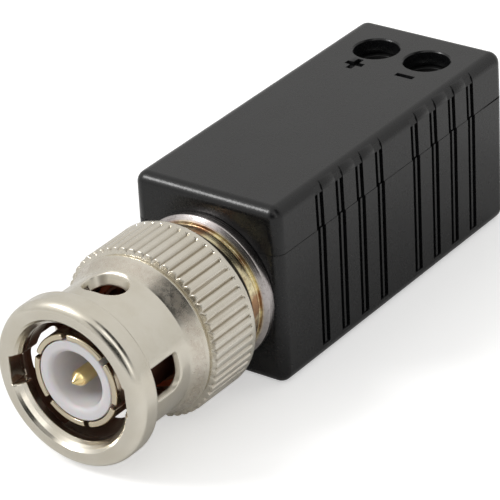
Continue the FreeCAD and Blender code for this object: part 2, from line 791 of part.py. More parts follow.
parts = {
    "housing_base": make_base(),
    "housing_cover": make_cover(),
    "plug_body": make_plug_body(),
    "outer_contact": make_outer_contact(),
    "insulator": make_insulator(),
    "centre_pin": make_centre_pin(),
    "gasket": make_gasket(),
    "mounting_collar": make_collar(),
    "ground_lug": make_lug(),
    "lock_nut": make_nut(),
    "wave_spring": make_wave_spring(),
    "thrust_washer": make_thrust_washer(),
    "keeper_ring": make_keeper_ring(),
    "coupling_sleeve": make_sleeve(),
    "circuit_board": make_board(),
    "toroid_core": make_core(),
    "toroid_winding": make_winding(),
    "matching_resistors": make_chips(),
    "signal_lead": make_lead(),
    "solder_joints": make_solder(),
    "terminal_block": make_block(),
}
for pole, side in (("plus", -1), ("minus", 1)):
    parts["contact_" + pole] = make_contact(side)
    parts["clamp_cage_" + pole] = make_cage(side)
    parts["clamp_screw_" + pole] = make_screw(side)

os.makedirs("parts", exist_ok=True)
for name, shape in parts.items():
    shape.exportStep("parts/" + name + ".step")
    print(name, len(shape.Solids), "solids", round(shape.Volume, 2), shape.isValid())
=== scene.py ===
"""Looks of the passive video balun: nickel bayonet plug on a black moulded case with a screw terminal."""

import json
import math

import bmesh
import bpy
import numpy as np
from mathutils import Matrix, Vector

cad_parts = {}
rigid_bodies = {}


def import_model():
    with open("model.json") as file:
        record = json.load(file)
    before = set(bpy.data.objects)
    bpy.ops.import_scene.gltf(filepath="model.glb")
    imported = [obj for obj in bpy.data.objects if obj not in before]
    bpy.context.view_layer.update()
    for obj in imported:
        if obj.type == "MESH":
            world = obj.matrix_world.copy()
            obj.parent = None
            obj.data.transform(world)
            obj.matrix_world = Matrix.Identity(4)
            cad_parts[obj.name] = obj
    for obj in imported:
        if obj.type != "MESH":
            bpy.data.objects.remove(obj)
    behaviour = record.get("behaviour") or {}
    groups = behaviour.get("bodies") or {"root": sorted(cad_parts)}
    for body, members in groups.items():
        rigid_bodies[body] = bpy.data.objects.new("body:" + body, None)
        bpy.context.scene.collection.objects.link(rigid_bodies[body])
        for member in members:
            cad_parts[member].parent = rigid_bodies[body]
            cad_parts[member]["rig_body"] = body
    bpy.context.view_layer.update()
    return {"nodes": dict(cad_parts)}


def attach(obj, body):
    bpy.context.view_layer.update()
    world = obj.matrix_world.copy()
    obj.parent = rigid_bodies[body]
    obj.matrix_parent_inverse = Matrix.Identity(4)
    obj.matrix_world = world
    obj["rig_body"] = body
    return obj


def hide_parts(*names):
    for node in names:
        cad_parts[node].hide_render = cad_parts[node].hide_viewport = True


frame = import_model()

MM = 0.001
FULL_TURN = 2 * math.pi

# Sizes from the part's source, in millimetres and degrees
CASE_FRONT = 17.4
CASE_HALF_WIDTH = 7.1
CASE_TOP = 8.3
CASE_BOTTOM = -7.6
SEAM = 4.25
SEAM_GROOVE_HALF_HEIGHT = 0.08
CASE_DRAFT = 0.012
GROOVE_ROWS = (5.8, 19.6)
GROOVE_PITCH, GROOVE_COUNT, GROOVE_FOOT = 2.84, 4, 1.15
GROOVE_FLOOR = 6.65
CASE_EDGE_RADIUS = 1.0
SLEEVE_FRONT = -1.0
SLEEVE_REAR = 13.55
SLEEVE_TURN = 2.5
RIM_RADIUS = 7.1
BARREL_RADIUS = 6.2
SHOULDER_RADIUS = 6.8
BORE_RADIUS = 5.05
CHAMBER_RADIUS = 5.65
CHAMBER_END = 6.4
LIP_REAR = 0.6
KNURL_RADIUS = 7.38
KNURL_FRONT = 8.45
KNURL_TEETH = 54
KNURL_BAND_FRONT = 13.05
REAR_CHAMBER_RADIUS = 5.55
REAR_CHAMBER_FRONT = 9.96
RING_GROOVE = (12.64, 13.14, 5.9)
NOTCH_WIDTH = 2.45
RAMP_START, RAMP_END = 1.7, 4.0
RAMP_RISE_ANGLE, RAMP_ANGLE, STOP_ANGLE = 75.0, 108.0, 7.0

# Sizes that only the scene has, in millimetres
GROOVE_BEVEL = 0.12
EDGE_BEVEL = 0.07
SMALL_BEVEL = 0.05
SEAM_BEVEL = 0.015
SEAM_HALF_GAP = 0.025
SEAM_WIDE_FROM = 46.6         # the gap keeps its full width behind this
GROOVES_FROM, GROOVES_TO = 22.4, 46.4
GROOVE_SLIP = 0.14            # the base's grooves lie this much further back
RIB_HALF_WIDTH = 0.13
RUN_OUT_HALF_WIDTH = 0.6
MARK_DEPTH = 0.4
MARK_Y = CASE_FRONT + 25.25
PLUS_X, MINUS_X = -2.54, 2.5
OPENING_DRAFT = 0.42
OPENING_ROUNDING = 0.18
WINDOW_MIDDLE, WINDOW_HALF_WIDTH, WINDOW_HALF_LENGTH = 3.45, 1.5, 1.88
WINDOW_CORNERS = (0.45, 1.2)  # counter-clockwise and clockwise end, seen from the front
HOLE_MIDDLE, HOLE_HALF_WIDTH, HOLE_HALF_LENGTH, HOLE_CORNER = 4.95, 1.95, 1.53, 1.46
TOOTH_DEPTH, TOOTH_CROWN, TOOTH_HALF_GROOVE = 0.17, 0.05, 0.25


# ---------------------------------------------------------------- node trees

def new_material(name, **sockets):
    """Principled material, its tree and its shader; sockets gives the values that are the same everywhere."""
    material = bpy.data.materials.new(name)
    material.use_nodes = True
    tree = material.node_tree
    shader = tree.nodes["Principled BSDF"]
    for key, value in sockets.items():
        shader.inputs[key.replace("_", " ")].default_value = value
    return material, tree, shader


def add(tree, kind, settings=None, **inputs):
    """New node with its settings and inputs; an input that is a socket is linked."""
    node = tree.nodes.new(kind)
    for key, value in (settings or {}).items():
        setattr(node, key, value)
    for key, value in inputs.items():
        name = int(key[1:]) if key[0] == "i" and key[1:].isdigit() else key.replace("_", " ")
        if isinstance(value, bpy.types.NodeSocket):
            tree.links.new(value, node.inputs[name])
        else:
            node.inputs[name].default_value = value
    return node


def millimetres(tree):
    """Object coordinates in millimetres."""
    place = add(tree, "ShaderNodeTexCoord").outputs["Object"]
    return add(tree, "ShaderNodeVectorMath", {"operation": "MULTIPLY"}, i0=place, i1=(1 / MM,) * 3).outputs[0]


def noise(tree, place, scale, detail=3.0, roughness=0.55):
    """Noise factor, about 0.3 to 0.7."""
    return add(tree, "ShaderNodeTexNoise", Vector=place, Scale=scale, Detail=detail,
               Roughness=roughness).outputs["Fac"]


def remap(tree, value, low, high, to_low, to_high):
    """Value carried from one range to another and held within it."""
    return add(tree, "ShaderNodeMapRange", Value=value, From_Min=low, From_Max=high, To_Min=to_low,
               To_Max=to_high).outputs["Result"]


def blend(tree, factor, first, second):
    """Mix of two colours."""
    node = add(tree, "ShaderNodeMix", {"data_type": "RGBA"})
    for socket, value in ((node.inputs[0], factor), (node.inputs[6], first), (node.inputs[7], second)):
        if isinstance(value, bpy.types.NodeSocket):
            tree.links.new(value, socket)
        else:
            socket.default_value = value
    return node.outputs[2]


def calc(tree, operation, first, second=0.0):
    """Result of one sum on one or two values."""
    return add(tree, "ShaderNodeMath", {"operation": operation}, i0=first, i1=second).outputs[0]


def product(tree, *values):
    """Product of two or more values."""
    result = values[0]
    for value in values[1:]:
        result = calc(tree, "MULTIPLY", result, value)
    return result


def bump(tree, height, depth_mm, normal=None):
    """Normal tilted by a height field of some depth, on top of another normal."""
    node = add(tree, "ShaderNodeBump", Height=height, Distance=depth_mm * MM, Strength=1.0)
    if normal is not None:
        tree.links.new(normal, node.inputs["Normal"])
    return node.outputs["Normal"]


def polar(tree, place):
    """Distance from the plug's axis, angle round it and place along it."""
    split = add(tree, "ShaderNodeSeparateXYZ", Vector=place).outputs
    across, up = split["X"], split["Z"]
    squares = calc(tree, "ADD", product(tree, across, across), product(tree, up, up))
    return calc(tree, "SQRT", squares), calc(tree, "ARCTAN2", up, across), split["Y"]


def ring_space(tree, radius, angle, along, rate, angle_rate):
    """Coordinates in which noise turns into rings round the plug's axis."""
    return add(tree, "ShaderNodeCombineXYZ", X=product(tree, along, rate), Y=product(tree, radius, rate),
               Z=product(tree, angle, angle_rate)).outputs[0]


def satin_metal(name, light, dark, rough, grain=1.0, dirt=(0.25, 0.2, 0.14), shaded=None):
    """Plated metal: fine satin grain, cloudy tarnish and a soft waviness that breaks up reflections.

    shaded(tree, place) gives where painted shade (on the sleeve also a film) lies, its colour, and how much
    rougher the bare metal is.
    """
    material, tree, shader = new_material(name, Metallic=1.0)
    place = millimetres(tree)
    cloud = noise(tree, place, 0.35, 4.0)
    speck = noise(tree, place, 5.0, 3.0, 0.7)
    colour = blend(tree, remap(tree, cloud, 0.35, 0.65, 0.0, 1.0), (*light, 1), (*dark, 1))
    stain = remap(tree, speck, 0.66, 0.8, 0.0, 0.35)
    colour = blend(tree, stain, colour, (*dirt, 1))
    polish = remap(tree, noise(tree, place, 1.6, 4.0), 0.3, 0.7, rough * 0.85, rough * 1.2)
    if shaded is not None:
        share, tone, matt = shaded(tree, place)
        # Blends in the painted shade, and film, that shaded gives
        colour = blend(tree, share, colour, (*tone, 1))
        polish = calc(tree, "ADD", polish, calc(tree, "ADD", product(tree, share, 0.4), matt))
    tree.links.new(colour, shader.inputs["Base Color"])
    tree.links.new(polish, shader.inputs["Roughness"])
    wavy = bump(tree, noise(tree, place, 1.3, 2.0), 0.004 * grain)
    fine = bump(tree, noise(tree, place, 9.0, 2.0), 0.0007 * grain, wavy)
    tree.links.new(fine, shader.inputs["Normal"])
    return material


def turned_metal(name, light, dark, rim, rough):
    """Lathe-turned and passivated: fine rings, yellow to brown clouds, a greyer rim, a black painted shadow in
    front.
    """
    material, tree, shader = new_material(name, Metallic=1.0)
    place = millimetres(tree)
    radius, angle, along = polar(tree, place)
    rings = noise(tree, ring_space(tree, radius, angle, along, 9.0, 0.7), 1.6, 4.0, 0.6)
    cloud = noise(tree, place, 0.35, 5.0, 0.65)
    speck = noise(tree, place, 3.0, 4.0, 0.7)
    colour = blend(tree, remap(tree, cloud, 0.40, 0.56, 0.0, 1.0), (*light, 1), (*dark, 1))
    colour = blend(tree, remap(tree, along, 16.28, 16.42, 0.0, 0.95), colour, (*rim, 1))
    colour = blend(tree, remap(tree, speck, 0.5, 0.75, 0.0, 0.6), colour, (0.16, 0.12, 0.11, 1))
    # Painted shadow: near black at the front, where the gap behind the knurl shades the collar
    colour = blend(tree, remap(tree, along, 15.02, 15.14, 0.97, 0.0), colour, (0.01, 0.01, 0.01, 1))
    tree.links.new(colour, shader.inputs["Base Color"])
    tree.links.new(remap(tree, rings, 0.3, 0.7, rough * 0.7, rough * 1.4), shader.inputs["Roughness"])
    tree.links.new(bump(tree, rings, 0.004), shader.inputs["Normal"])
    return material


def moulded_plastic(name, colour, rough):
    """Spark-eroded moulding: fine even grain, slight flow clouds and rubbed spots."""
    material, tree, shader = new_material(name, Specular_IOR_Level=0.42)
    place = millimetres(tree)
    cloud = noise(tree, place, 0.12, 3.0)
    tint = blend(tree, remap(tree, cloud, 0.35, 0.65, 0.0, 1.0), (*[c * 0.85 for c in colour], 1),
                 (*[c * 1.25 for c in colour], 1))
    tree.links.new(tint, shader.inputs["Base Color"])
    grain = noise(tree, place, 3.6, 3.0, 0.65)
    rubbed = noise(tree, place, 0.5, 4.0, 0.65)
    value = calc(tree, "ADD", remap(tree, rubbed, 0.35, 0.7, rough * 1.1, rough * 0.88),
                 remap(tree, grain, 0.3, 0.7, -0.03, 0.03))
    tree.links.new(value, shader.inputs["Roughness"])
    tree.links.new(bump(tree, grain, 0.007), shader.inputs["Normal"])
    return material


def soft_white(name):
    """Smooth white insulator, slightly translucent, with faint turning rings."""
    material, tree, shader = new_material(name, Subsurface_Weight=0.35, Subsurface_Scale=0.6 * MM,
                                          Specular_IOR_Level=0.45)
    place = millimetres(tree)
    rings = noise(tree, ring_space(tree, *polar(tree, place), 5.0, 0.3), 2.0, 2.0)
    cloud = noise(tree, place, 0.6, 3.0)
    colour = blend(tree, remap(tree, cloud, 0.35, 0.65, 0.0, 1.0), (0.71, 0.70, 0.73, 1),
                   (0.76, 0.74, 0.76, 1))
    tree.links.new(colour, shader.inputs["Base Color"])
    tree.links.new(remap(tree, cloud, 0.3, 0.7, 0.3, 0.4), shader.inputs["Roughness"])
    tree.links.new(bump(tree, rings, 0.001), shader.inputs["Normal"])
    return material


def silicone(name):
    """Soft red-brown rubber with faint clouds."""
    material, tree, shader = new_material(name, Specular_IOR_Level=0.4, Subsurface_Weight=0.15,
                                          Subsurface_Scale=0.3 * MM)
    place = millimetres(tree)
    cloud = noise(tree, place, 1.2, 3.0)
    colour = blend(tree, remap(tree, cloud, 0.35, 0.65, 0.0, 1.0), (0.50, 0.075, 0.02, 1),
                   (0.62, 0.13, 0.04, 1))
    tree.links.new(colour, shader.inputs["Base Color"])
    tree.links.new(remap(tree, cloud, 0.3, 0.7, 0.4, 0.55), shader.inputs["Roughness"])
    tree.links.new(bump(tree, noise(tree, place, 6.0, 2.0), 0.003), shader.inputs["Normal"])
    return material


def circuit_laminate(name):
    """Solder mask with the weave of the laminate showing faintly."""
    material, tree, shader = new_material(name, Specular_IOR_Level=0.5, Coat_Weight=0.3,
                                          Coat_Roughness=0.2)
    place = millimetres(tree)
    threads = [add(tree, "ShaderNodeTexWave", {"wave_type": "BANDS", "bands_direction": way}, Vector=place,
                   Scale=1.6, Distortion=1.0, Detail=2.0).outputs["Fac"] for way in "XY"]
    both = product(tree, *threads)
    colour = blend(tree, remap(tree, both, 0.0, 1.0, 0.0, 0.35), (0.02, 0.11, 0.045, 1),
                   (0.06, 0.24, 0.10, 1))
    tree.links.new(colour, shader.inputs["Base Color"])
    tree.links.new(remap(tree, both, 0.0, 1.0, 0.35, 0.45), shader.inputs["Roughness"])
    tree.links.new(bump(tree, both, 0.004), shader.inputs["Normal"])
    return material


def speckled(name, light, dark, rough, scale, metallic=0.0, depth=0.01):
    """Sintered, ceramic or soldered matter: two colours in a fine random mix with a grainy surface."""
    material, tree, shader = new_material(name, Metallic=metallic)
    place = millimetres(tree)
    grain = noise(tree, place, scale, 4.0, 0.65)
    colour = blend(tree, remap(tree, grain, 0.35, 0.65, 0.0, 1.0), (*light, 1), (*dark, 1))
    tree.links.new(colour, shader.inputs["Base Color"])
    tree.links.new(remap(tree, grain, 0.3, 0.7, rough * 0.8, rough * 1.2), shader.inputs["Roughness"])
    tree.links.new(bump(tree, grain, depth), shader.inputs["Normal"])
    return material


def sleeve_painted_shade_and_film(tree, place):
    """Brown painted shade inside the sleeve, deeper further in; a mottled film in the hollow before its knurl
    that partly paints in a dark reflected band; duller opening walls.
    """
    radius, _, along = polar(tree, place)
    split = add(tree, "ShaderNodeSeparateXYZ", Vector=place).outputs
    facing = add(tree, "ShaderNodeTexCoord").outputs["Normal"]
    normal = add(tree, "ShaderNodeSeparateXYZ", Vector=facing).outputs
    outward = calc(tree, "DIVIDE", calc(tree, "ADD", product(tree, normal["X"], split["X"]),
                                        product(tree, normal["Z"], split["Z"])), radius)
    rest_holes = product(tree, remap(tree, calc(tree, "ABSOLUTE", split["X"]), 2.5, 2.7, 1.0, 0.0),
                         remap(tree, along, 4.0, 4.3, 0.0, 1.0))
    left_unshaded = product(tree, rest_holes, remap(tree, outward, -0.85, -0.6, 0.0, 1.0))
    # Painted shade: brown, growing further into the bore and chamber, weaker on the bore than in the chamber
    inside = product(tree, remap(tree, radius, 5.66, 5.72, 1.0, 0.0), remap(tree, along, 0.2, 1.2, 0.0, 0.92),
                     calc(tree, "SUBTRACT", 1.0, left_unshaded), remap(tree, radius, 5.08, 5.3, 0.45, 1.0))
    mottle = remap(tree, noise(tree, place, 2.4, 5.0, 0.75), 0.35, 0.7, 0.02, 0.3)
    # Mottled film in the flare, darkened there partly as a painted reflection of a dark band
    flare_film_and_reflection = product(tree, remap(tree, along, 6.5, 7.0, 0.0, 1.0), remap(tree, along, 7.7, 8.0, 1.0, 0.0),
                   mottle, remap(tree, radius, 5.9, 6.1, 0.0, 1.0))
    walls = product(tree, remap(tree, calc(tree, "ABSOLUTE", outward), 0.5, 0.75, 0.2, 0.0),
                    remap(tree, along, 2.0, 2.4, 0.0, 1.0))
    return calc(tree, "MAXIMUM", inside, flare_film_and_reflection), (0.27, 0.13, 0.085), walls


def knurl_groove_shade(tree, place):
    """Painted shade at the bottom of the knurl's grooves."""
    radius, _, along = polar(tree, place)
    groove_shade = product(tree, remap(tree, radius, 7.16, 7.32, 0.4, 0.0), remap(tree, radius, 6.9, 7.0, 0.0, 1.0),
                   remap(tree, along, 8.42, 8.52, 0.0, 1.0))
    return groove_shade, (0.30, 0.24, 0.17), 0.0


def contact_depth_shade(tree, place):
    """Painted shade: the contact is bright at its mouth and brown further in."""
    along = polar(tree, place)[2]
    return remap(tree, along, 0.3, 1.2, 0.0, 0.94), (0.26, 0.11, 0.07), 0.0


# The sleeve carries painted shade inside and a partly painted dark band in its flare
NICKEL = satin_metal("satin_nickel", (0.765, 0.725, 0.635), (0.715, 0.67, 0.57), 0.21, shaded=sleeve_painted_shade_and_film)
# The knurl's grooves carry painted shade
NICKEL_KNURL = satin_metal("knurled_nickel", (0.75, 0.71, 0.625), (0.70, 0.655, 0.56), 0.24,
                           shaded=knurl_groove_shade)
NICKEL_BRIGHT = satin_metal("bright_nickel", (0.76, 0.73, 0.66), (0.70, 0.66, 0.58), 0.14, 0.6)
CONTACT_METAL = satin_metal("contact_plate", (0.72, 0.64, 0.48), (0.66, 0.58, 0.44), 0.2, shaded=contact_depth_shade)
GOLD = satin_metal("gold_plate", (0.93, 0.74, 0.36), (0.86, 0.68, 0.34), 0.12, 0.5, (0.5, 0.33, 0.1))
COLLAR = turned_metal("yellow_passivated", (0.91, 0.81, 0.52), (0.42, 0.24, 0.13), (0.52, 0.49, 0.49), 0.22)
STEEL = satin_metal("spring_steel", (0.58, 0.57, 0.55), (0.50, 0.49, 0.48), 0.25)
TIN = satin_metal("tin_plate", (0.75, 0.74, 0.71), (0.66, 0.65, 0.63), 0.3)
ZINC = satin_metal("zinc_screw", (0.70, 0.70, 0.69), (0.60, 0.60, 0.60), 0.28)
ABS = moulded_plastic("black_moulding", (0.0056, 0.0058, 0.0064), 0.26)
BLOCK = moulded_plastic("terminal_plastic", (0.006, 0.006, 0.006), 0.45)
WHITE = soft_white("white_insulator")
RUBBER = silicone("red_silicone")
LAMINATE = circuit_laminate("green_laminate")
FERRITE = speckled("ferrite_core", (0.07, 0.07, 0.075), (0.04, 0.04, 0.042), 0.6, 4.0)
COPPER = speckled("enamelled_copper", (0.72, 0.28, 0.10), (0.55, 0.18, 0.06), 0.25, 2.0, 1.0, 0.002)
CHIP = speckled("chip_body", (0.02, 0.02, 0.022), (0.03, 0.03, 0.034), 0.5, 9.0)
SOLDER = speckled("solder_cone", (0.72, 0.72, 0.74), (0.60, 0.60, 0.62), 0.22, 3.0, 1.0, 0.004)


# ---------------------------------------------------------------- mesh building

def add_piece(name, vertices, faces, body, material, nodes, normals=None, sharp_angle=35.0):
    """Closed mesh from millimetres, smooth but for sharp edges, that rides on a body in place of CAD nodes."""
    mesh = bpy.data.meshes.new(name)
    mesh.from_pydata((np.asarray(vertices, float) * MM).tolist(), [], faces)
    mesh.materials.append(material)
    piece = bpy.data.objects.new(name, mesh)
    bpy.context.scene.collection.objects.link(piece)
    finish_mesh(piece, sharp_angle, normals)
    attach(piece, body)
    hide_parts(*nodes)


def finish_mesh(piece, sharp_angle, normals=None):
    """Turns faces outward, marks sharp edges and keeps flat faces flat next to rounded ones."""
    mesh = piece.data
    work = bmesh.new()
    work.from_mesh(mesh)
    bmesh.ops.recalc_face_normals(work, faces=work.faces)
    limit = math.radians(sharp_angle)
    for face in work.faces:
        face.smooth = True
    for edge in work.edges:
        edge.smooth = normals is not None or edge.calc_face_angle(0.0) < limit
    work.to_mesh(mesh)
    work.free()
    if normals is not None:
        mesh.normals_split_custom_set_from_vertices(np.asarray(normals, float).tolist())
        return
    modifier = piece.modifiers.new("weighted", "WEIGHTED_NORMAL")
    modifier.keep_sharp = True
    bake_modifiers(piece)


def bake_modifiers(piece):
    """Applies the piece's modifiers to its mesh."""
    bpy.context.view_layer.update()
    graph = bpy.context.evaluated_depsgraph_get()
    made = bpy.data.meshes.new_from_object(piece.evaluated_get(graph))
    made.name = piece.name
    piece.modifiers.clear()
    piece.data = made


def rounded(corners, steps=5):
    """Closed outline of (y, r) points from (y, r, corner radius[, steps]), each corner turned into an arc."""
    outline = []
    count = len(corners)
    for number, (y, r, size, *own_steps) in enumerate(corners):
        here = np.array((y, r), float)
        back = np.array(corners[number - 1][:2], float) - here
        ahead = np.array(corners[(number + 1) % count][:2], float) - here
        back /= np.linalg.norm(back)
        ahead /= np.linalg.norm(ahead)
        half = math.acos(max(-1.0, min(1.0, float(back @ ahead)))) / 2
        if size <= 0 or abs(half - math.pi / 2) < 1e-3:
            outline.append((float(y), float(r)))
            continue
        reach = size / math.tan(half)
        start, end = here + back * reach, here + ahead * reach
        middle = here + (back + ahead) / np.linalg.norm(back + ahead) * (size / math.sin(half))
        first, last = start - middle, end - middle
        sweep = math.pi - 2 * half
        arc_steps = own_steps[0] if own_steps else steps
        for step in range(arc_steps + 1):
            share = step / arc_steps
            turned = first * math.sin((1 - share) * sweep) + last * math.sin(share * sweep)
            point = middle + turned / math.sin(sweep)
            outline.append((float(point[0]), float(point[1])))
    return outline


def lathe(outline, angles, shift=None, on_axis=False):
    """Vertices and faces swept from a (y, r) outline, a closed one unless on_axis.

    shift(y, r, angles) says how far points move out.
    """
    angles = np.asarray(angles, float)
    turns = len(angles)
    vertices = []
    for y, r in outline:
        radii = np.full(turns, float(r))
        if shift is not None:
            radii = radii + shift(y, r, angles)
        along = np.full(turns, float(y))
        vertices.append(np.stack([radii * np.cos(angles), along, radii * np.sin(angles)], 1))
    vertices = np.concatenate(vertices)
    faces = []
    rows = len(outline)
    for row in range(rows - 1 if on_axis else rows):
        here, ahead = row * turns, (row + 1) % rows * turns
        for column in range(turns):
            side = (column + 1) % turns
            faces.append((here + column, here + side, ahead + side, ahead + column))
    if on_axis:
        faces.append(tuple(range(turns)))
        faces.append(tuple(range((rows - 1) * turns, rows * turns)))
    return vertices, faces


def even_turns(count):
    """Evenly spaced angles over one turn."""
    return np.arange(count) * FULL_TURN / count


def on_groove_floor(place):
    """Whether a place in millimetres lies on the leaning floors of the finger grooves."""
    return abs(abs(place.x) - GROOVE_FLOOR + abs(place.z - SEAM) * CASE_DRAFT) < 0.03


def mark_bevels(mesh, seam, width):
    """Bevel weights, as shares of the grooves' bevel, for edges sharper than 32 degrees.

    Groove edges get the full width, the seam's edges a faint one and all others the given width.
    """
    work = bmesh.new()
    work.from_mesh(mesh)
    layer = work.edges.layers.float.new("bevel_weight_edge")
    for edge in work.edges:
        if edge.calc_face_angle(0.0) < math.radians(32):
            continue
        places = [v.co / MM for v in edge.verts]
        share = width / GROOVE_BEVEL
        if seam is not None:
            if all(abs(p.z - seam) < 0.06 for p in places):
                share = SEAM_BEVEL / GROOVE_BEVEL
            elif all(on_groove_floor(p) for p in places) and abs(places[0].y - places[1].y) < 0.1:
                share = 1.0
        edge[layer] = share
    work.to_mesh(mesh)
    work.free()


def add_boxes(mesh, boxes):
    """Add closed boxes to a mesh, each given as eight corners in millimetres, z slowest and y fastest."""
    work = bmesh.new()
    work.from_mesh(mesh)
    added = []
    for corners in boxes:
        box = [work.verts.new(tuple(c * MM for c in corner)) for corner in corners]
        for face in ((0, 1, 3, 2), (4, 6, 7, 5), (0, 2, 6, 4), (1, 5, 7, 3), (0, 4, 5, 1), (2, 3, 7, 6)):
            added.append(work.faces.new([box[n] for n in face]))
    bmesh.ops.recalc_face_normals(work, faces=added)
    work.to_mesh(mesh)
    work.free()


def from_node(node, name, material, width, cutters=(), seam=None, slip=0.0, ribs=()):
    """Copy of a CAD node with its flat faces joined up and every sharp edge softly rounded, less at the seam.

    slip moves the finger grooves back, as the two mould halves don't quite agree; ribs are boxes added there.
    """
    source = frame["nodes"][node]
    work = bmesh.new()
    work.from_mesh(source.data)
    bmesh.ops.remove_doubles(work, verts=work.verts, dist=1e-7)
    bmesh.ops.dissolve_limit(work, angle_limit=math.radians(0.4), verts=work.verts, edges=work.edges)
    for vertex in work.verts:
        outside = abs(vertex.co.x) > (GROOVE_FLOOR - 0.2) * MM
        if slip and outside and GROOVES_FROM * MM < vertex.co.y < GROOVES_TO * MM:
            vertex.co.y += slip * MM
        height = vertex.co.z / MM - (seam or 0.0)
        in_seam = seam and abs(abs(height) - SEAM_GROOVE_HALF_HEIGHT) < 0.03
        if in_seam and vertex.co.y < SEAM_WIDE_FROM * MM:
            vertex.co.z = (seam + math.copysign(SEAM_HALF_GAP, height)) * MM
    bmesh.ops.recalc_face_normals(work, faces=work.faces)
    mesh = bpy.data.meshes.new(name)
    work.to_mesh(mesh)
    work.free()
    piece = bpy.data.objects.new(name, mesh)
    bpy.context.scene.collection.objects.link(piece)
    for cutter in cutters:
        modifier = piece.modifiers.new("cut", "BOOLEAN")
        modifier.operation = "DIFFERENCE"
        modifier.solver = "EXACT"
        modifier.object = cutter
    if cutters:
        bake_modifiers(piece)
    mark_bevels(piece.data, seam, width)
    modifier = piece.modifiers.new("edges", "BEVEL")
    modifier.limit_method = "WEIGHT"
    modifier.width = GROOVE_BEVEL * MM
    modifier.segments = 2
    bake_modifiers(piece)
    mesh = piece.data
    if ribs:
        add_boxes(mesh, ribs)
    mesh.materials.clear()
    mesh.materials.append(material)
    finish_mesh(piece, 50.0)
    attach(piece, source["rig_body"])
    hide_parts(node)


# ---------------------------------------------------------------- distance fields for the bayonet pieces

def outline_distance(points, y, r):
    """Signed distance from a closed (y, r) outline, below zero inside."""
    points = np.asarray(points, float)
    y, r = np.broadcast_arrays(y, r)
    nearest = np.full(y.shape, np.inf)
    inside = np.zeros(y.shape, bool)
    for start, end in zip(points, np.roll(points, -1, axis=0)):
        run, rise = end - start
        length = run * run + rise * rise
        if length < 1e-12:
            continue
        share = np.clip(((y - start[0]) * run + (r - start[1]) * rise) / length, 0, 1)
        nearest = np.minimum(nearest, (y - start[0] - share * run) ** 2 + (r - start[1] - share * rise) ** 2)
        crosses = (start[1] > r) != (end[1] > r)
        if rise:
            inside ^= crosses & (y < start[0] + (r - start[1]) * run / rise)
    return np.where(inside, -1.0, 1.0) * np.sqrt(nearest)


def soft_max(first, second, size):
    """Larger of two fields, rounded over where they meet."""
    share = np.maximum(size - np.abs(first - second), 0) / size
    return np.maximum(first, second) + share * share * size / 4


def soft_min(first, second, size):
    """Smaller of two fields, rounded over where they meet."""
    return -soft_max(-first, -second, size)


def slab(u, y, half_u, half_y, corner):
    """Rounded rectangle seen along the radius."""
    du = np.abs(u) - (half_u - corner)
    dy = np.abs(y) - (half_y - corner)
    outside = np.sqrt(np.maximum(du, 0) ** 2 + np.maximum(dy, 0) ** 2)
    return outside + np.minimum(np.maximum(du, dy), 0) - corner


def field_mesh(field, radii, stations, turns):
    """Closed mesh of the zero surface of field(r, angle, y), with exact normals."""
    radii, stations = np.asarray(radii, float), np.asarray(stations, float)
    angles = even_turns(turns)
    values = field(radii[:, None, None], angles[None, :, None], stations[None, None, :])
    values = np.where(values == 0, 1e-9, values)
    shape = values.shape
    totals = np.zeros((3,) + shape)
    counts = np.zeros(shape)
    index = np.indices(shape)
    quads = []
    for axis in range(3):
        others = [a for a in range(3) if a != axis]
        ahead = np.roll(values, -1, axis)
        change = (values < 0) != (ahead < 0)
        if axis != 1:
            change[tuple(slice(-1, None) if a == axis else slice(None) for a in range(3))] = False
        where = np.nonzero(change)
        share = values[where] / (values[where] - ahead[where])
        cells = []
        for back_b in (1, 0):
            for back_c in (1, 0):
                cell = [w.copy() for w in where]
                cell[others[0]] = cell[others[0]] - back_b
                cell[others[1]] = cell[others[1]] - back_c
                cell[1] %= turns
                offset = [None, None, None]
                offset[axis] = share
                offset[others[0]] = np.full(len(share), float(back_b))
                offset[others[1]] = np.full(len(share), float(back_c))
                for a in range(3):
                    np.add.at(totals[a], tuple(cell), offset[a])
                np.add.at(counts, tuple(cell), 1)
                cells.append(np.ravel_multi_index(cell, shape))
        quads.append(np.stack([cells[0], cells[1], cells[3], cells[2]], 1))
    used = np.nonzero(counts.ravel())[0]
    number = np.full(counts.size, -1)
    number[used] = np.arange(len(used))
    place = [(index[a].ravel()[used] + totals[a].ravel()[used] / counts.ravel()[used]) for a in range(3)]
    r = np.interp(place[0], np.arange(len(radii)), radii)
    y = np.interp(place[2], np.arange(len(stations)), stations)
    angle = place[1] * FULL_TURN / turns
    step = 0.004
    for _ in range(4):
        slope_r = (field(r + step, angle, y) - field(r - step, angle, y)) / (2 * step)
        slope_a = (field(r, angle + step / r, y) - field(r, angle - step / r, y)) / (2 * step)
        slope_y = (field(r, angle, y + step) - field(r, angle, y - step)) / (2 * step)
        size = slope_r ** 2 + slope_a ** 2 + slope_y ** 2 + 1e-9
        move = np.clip(field(r, angle, y) / size, -0.05, 0.05)
        r, angle, y = r - move * slope_r, angle - move * slope_a / r, y - move * slope_y
    length = np.sqrt(size)
    slope_r, slope_a, slope_y = slope_r / length, slope_a / length, slope_y / length
    cos, sin = np.cos(angle), np.sin(angle)
    vertices = np.stack([r * cos, y, r * sin], 1)
    normals = np.stack([slope_r * cos - slope_a * sin, slope_y, slope_r * sin + slope_a * cos], 1)
    return vertices, number[np.concatenate(quads)].tolist(), normals


# ---------------------------------------------------------------- coupling sleeve

